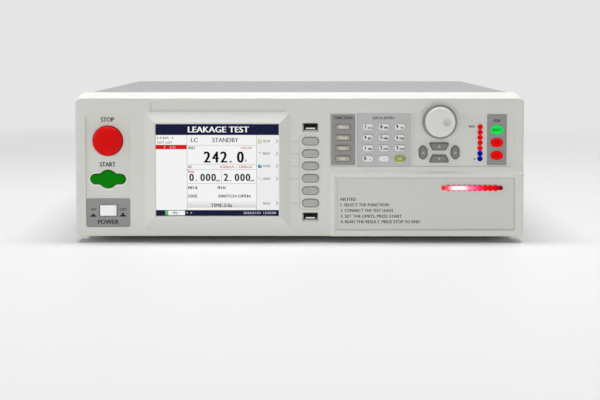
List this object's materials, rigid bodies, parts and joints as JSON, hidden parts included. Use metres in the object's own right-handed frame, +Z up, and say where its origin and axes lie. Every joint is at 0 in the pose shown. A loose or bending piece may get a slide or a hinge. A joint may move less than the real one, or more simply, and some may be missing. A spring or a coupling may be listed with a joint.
{
  "type": "leakage current tester",
  "caption": "Bench leakage current tester: moulded front with colour screen, keypad, jog knob, start and stop buttons, in a light grey sheet-metal case.",
  "frame": {"origin": "middle of the overall box, on the surface that the feet stand on", "axes": "+X to the right seen from the front, +Y from the front towards the back, +Z up"},
  "size_m": [0.442, 0.418, 0.1477],
  "materials": {
    "bezel_plastic": "fine moulded texture, warm light grey",
    "cover_paint": "fine powder coat, light grey",
    "plated_steel": "zinc-plated sheet",
    "note_plate": "matt printed film",
    "dark_film": "matt dark grey film",
    "grey_film": "matt mid grey film",
    "screen_glass": "clear window over the display",
    "module_metal": "tinned display frame",
    "status_lens": "tinted lamp lenses",
    "level_lens": "tinted lamp lenses",
    "danger_lens": "lit lens bar",
    "board_green": "solder mask",
    "socket_black": "black moulded plastic",
    "foot_rubber": "matt black rubber",
    "winding": "yellow polyester tape",
    "bright_steel": "bright plated steel",
    "socket_red": "glossy socket plastic",
    "stop_red": "glossy red cap",
    "start_green": "satin green key",
    "power_white": "satin white button",
    "knob_plastic": "satin light grey knob",
    "soft_key": "satin grey key",
    "function_key": "satin olive-grey key",
    "number_key": "satin white key",
    "shift_key": "satin yellow-green key",
    "arrow_key": "satin dark grey key"
  },
  "bodies": {
    "chassis": {"front_bezel": "bezel_plastic", "case_cover": "cover_paint", "bottom_tray": "plated_steel", "rear_panel": "cover_paint", "front_plate": "plated_steel", "note_plate": "note_plate", "dark_overlays": "dark_film", "light_overlays": "grey_film", "screen_glass": "screen_glass", "lcd_module": "module_metal", "status_lamps": "status_lens", "level_leds": "level_lens", "danger_lamp": "danger_lens", "key_board": "board_green", "usb_sockets": "socket_black", "encoder_body": "socket_black", "feet": "foot_rubber", "main_board": "board_green", "transformer": "winding", "power_supply": "plated_steel", "mains_inlet": "socket_black", "fan_frame": "socket_black", "fan_guard": "bright_steel", "test_sockets": "socket_red", "data_ports": "bright_steel", "screws": "bright_steel", "push_switches": "socket_black", "measuring_board": "board_green"},
    "stop_button": {"stop_button": "stop_red"},
    "start_button": {"start_button": "start_green"},
    "power_button": {"power_button": "power_white"},
    "jog_knob": {"jog_knob": "knob_plastic"},
    "fan_rotor": {"fan_rotor": "socket_black"},
    "fuse_drawer": {"fuse_drawer": "socket_black"},
    "soft_key_1": {"soft_key_1": "soft_key"},
    "soft_key_2": {"soft_key_2": "soft_key"},
    "soft_key_3": {"soft_key_3": "soft_key"},
    "soft_key_4": {"soft_key_4": "soft_key"},
    "soft_key_5": {"soft_key_5": "soft_key"},
    "soft_key_6": {"soft_key_6": "soft_key"},
    "function_key_1": {"function_key_1": "function_key"},
    "function_key_2": {"function_key_2": "function_key"},
    "function_key_3": {"function_key_3": "function_key"},
    "function_key_4": {"function_key_4": "function_key"},
    "key_7": {"key_7": "number_key"},
    "key_8": {"key_8": "number_key"},
    "key_9": {"key_9": "number_key"},
    "key_4": {"key_4": "number_key"},
    "key_5": {"key_5": "number_key"},
    "key_6": {"key_6": "number_key"},
    "key_1": {"key_1": "number_key"},
    "key_2": {"key_2": "number_key"},
    "key_3": {"key_3": "number_key"},
    "key_0": {"key_0": "number_key"},
    "key_point": {"key_point": "number_key"},
    "key_shift": {"key_shift": "shift_key"},
    "arrow_up": {"arrow_up": "arrow_key"},
    "arrow_down": {"arrow_down": "arrow_key"},
    "arrow_left": {"arrow_left": "arrow_key"},
    "arrow_right": {"arrow_right": "arrow_key"}
  },
  "joints": [
    {"name": "stop_press", "type": "slide", "parent": "chassis", "child": "stop_button", "axis": [0, 1, 0], "range_m": [0, 0.004], "stiffness_N_per_m": 600, "springref_m": -0.002},
    {"name": "start_press", "type": "slide", "parent": "chassis", "child": "start_button", "axis": [0, 1, 0], "range_m": [0, 0.003], "stiffness_N_per_m": 500, "springref_m": -0.002},
    {"name": "power_press", "type": "slide", "parent": "chassis", "child": "power_button", "axis": [0, 1, 0], "range_m": [-0.0035, 0.0008]},
    {"name": "soft_key_1_press", "type": "slide", "parent": "chassis", "child": "soft_key_1", "axis": [0, 1, 0], "range_m": [0, 0.001], "stiffness_N_per_m": 800, "springref_m": -0.0005},
    {"name": "soft_key_2_press", "type": "slide", "parent": "chassis", "child": "soft_key_2", "axis": [0, 1, 0], "range_m": [0, 0.001], "stiffness_N_per_m": 800, "springref_m": -0.0005},
    {"name": "soft_key_3_press", "type": "slide", "parent": "chassis", "child": "soft_key_3", "axis": [0, 1, 0], "range_m": [0, 0.001], "stiffness_N_per_m": 800, "springref_m": -0.0005},
    {"name": "soft_key_4_press", "type": "slide", "parent": "chassis", "child": "soft_key_4", "axis": [0, 1, 0], "range_m": [0, 0.001], "stiffness_N_per_m": 800, "springref_m": -0.0005},
    {"name": "soft_key_5_press", "type": "slide", "parent": "chassis", "child": "soft_key_5", "axis": [0, 1, 0], "range_m": [0, 0.001], "stiffness_N_per_m": 800, "springref_m": -0.0005},
    {"name": "soft_key_6_press", "type": "slide", "parent": "chassis", "child": "soft_key_6", "axis": [0, 1, 0], "range_m": [0, 0.001], "stiffness_N_per_m": 800, "springref_m": -0.0005},
    {"name": "function_key_1_press", "type": "slide", "parent": "chassis", "child": "function_key_1", "axis": [0, 1, 0], "range_m": [0, 0.001], "stiffness_N_per_m": 800, "springref_m": -0.0005},
    {"name": "function_key_2_press", "type": "slide", "parent": "chassis", "child": "function_key_2", "axis": [0, 1, 0], "range_m": [0, 0.001], "stiffness_N_per_m": 800, "springref_m": -0.0005},
    {"name": "function_key_3_press", "type": "slide", "parent": "chassis", "child": "function_key_3", "axis": [0, 1, 0], "range_m": [0, 0.001], "stiffness_N_per_m": 800, "springref_m": -0.0005},
    {"name": "function_key_4_press", "type": "slide", "parent": "chassis", "child": "function_key_4", "axis": [0, 1, 0], "range_m": [0, 0.001], "stiffness_N_per_m": 800, "springref_m": -0.0005},
    {"name": "key_7_press", "type": "slide", "parent": "chassis", "child": "key_7", "axis": [0, 1, 0], "range_m": [0, 0.001], "stiffness_N_per_m": 800, "springref_m": -0.0005},
    {"name": "key_8_press", "type": "slide", "parent": "chassis", "child": "key_8", "axis": [0, 1, 0], "range_m": [0, 0.001], "stiffness_N_per_m": 800, "springref_m": -0.0005},
    {"name": "key_9_press", "type": "slide", "parent": "chassis", "child": "key_9", "axis": [0, 1, 0], "range_m": [0, 0.001], "stiffness_N_per_m": 800, "springref_m": -0.0005},
    {"name": "key_4_press", "type": "slide", "parent": "chassis", "child": "key_4", "axis": [0, 1, 0], "range_m": [0, 0.001], "stiffness_N_per_m": 800, "springref_m": -0.0005},
    {"name": "key_5_press", "type": "slide", "parent": "chassis", "child": "key_5", "axis": [0, 1, 0], "range_m": [0, 0.001], "stiffness_N_per_m": 800, "springref_m": -0.0005},
    {"name": "key_6_press", "type": "slide", "parent": "chassis", "child": "key_6", "axis": [0, 1, 0], "range_m": [0, 0.001], "stiffness_N_per_m": 800, "springref_m": -0.0005},
    {"name": "key_1_press", "type": "slide", "parent": "chassis", "child": "key_1", "axis": [0, 1, 0], "range_m": [0, 0.001], "stiffness_N_per_m": 800, "springref_m": -0.0005},
    {"name": "key_2_press", "type": "slide", "parent": "chassis", "child": "key_2", "axis": [0, 1, 0], "range_m": [0, 0.001], "stiffness_N_per_m": 800, "springref_m": -0.0005},
    {"name": "key_3_press", "type": "slide", "parent": "chassis", "child": "key_3", "axis": [0, 1, 0], "range_m": [0, 0.001], "stiffness_N_per_m": 800, "springref_m": -0.0005},
    {"name": "key_0_press", "type": "slide", "parent": "chassis", "child": "key_0", "axis": [0, 1, 0], "range_m": [0, 0.001], "stiffness_N_per_m": 800, "springref_m": -0.0005},
    {"name": "key_point_press", "type": "slide", "parent": "chassis", "child": "key_point", "axis": [0, 1, 0], "range_m": [0, 0.001], "stiffness_N_per_m": 800, "springref_m": -0.0005},
    {"name": "key_shift_press", "type": "slide", "parent": "chassis", "child": "key_shift", "axis": [0, 1, 0], "range_m": [0, 0.001], "stiffness_N_per_m": 800, "springref_m": -0.0005},
    {"name": "arrow_up_press", "type": "slide", "parent": "chassis", "child": "arrow_up", "axis": [0, 1, 0], "range_m": [0, 0.001], "stiffness_N_per_m": 800, "springref_m": -0.0005},
    {"name": "arrow_down_press", "type": "slide", "parent": "chassis", "child": "arrow_down", "axis": [0, 1, 0], "range_m": [0, 0.001], "stiffness_N_per_m": 800, "springref_m": -0.0005},
    {"name": "arrow_left_press", "type": "slide", "parent": "chassis", "child": "arrow_left", "axis": [0, 1, 0], "range_m": [0, 0.001], "stiffness_N_per_m": 800, "springref_m": -0.0005},
    {"name": "arrow_right_press", "type": "slide", "parent": "chassis", "child": "arrow_right", "axis": [0, 1, 0], "range_m": [0, 0.001], "stiffness_N_per_m": 800, "springref_m": -0.0005},
    {"name": "knob_turn", "type": "hinge", "parent": "chassis", "child": "jog_knob", "pos_m": [0.1376, -0.199, 0.1197], "axis": [0, 1, 0], "continuous": true},
    {"name": "fan_turn", "type": "hinge", "parent": "chassis", "child": "fan_rotor", "pos_m": [-0.095, 0.181, 0.078], "axis": [0, 1, 0], "continuous": true},
    {"name": "drawer_pull", "type": "slide", "parent": "chassis", "child": "fuse_drawer", "axis": [0, 1, 0], "range_m": [0, 0.02]}
  ]
}
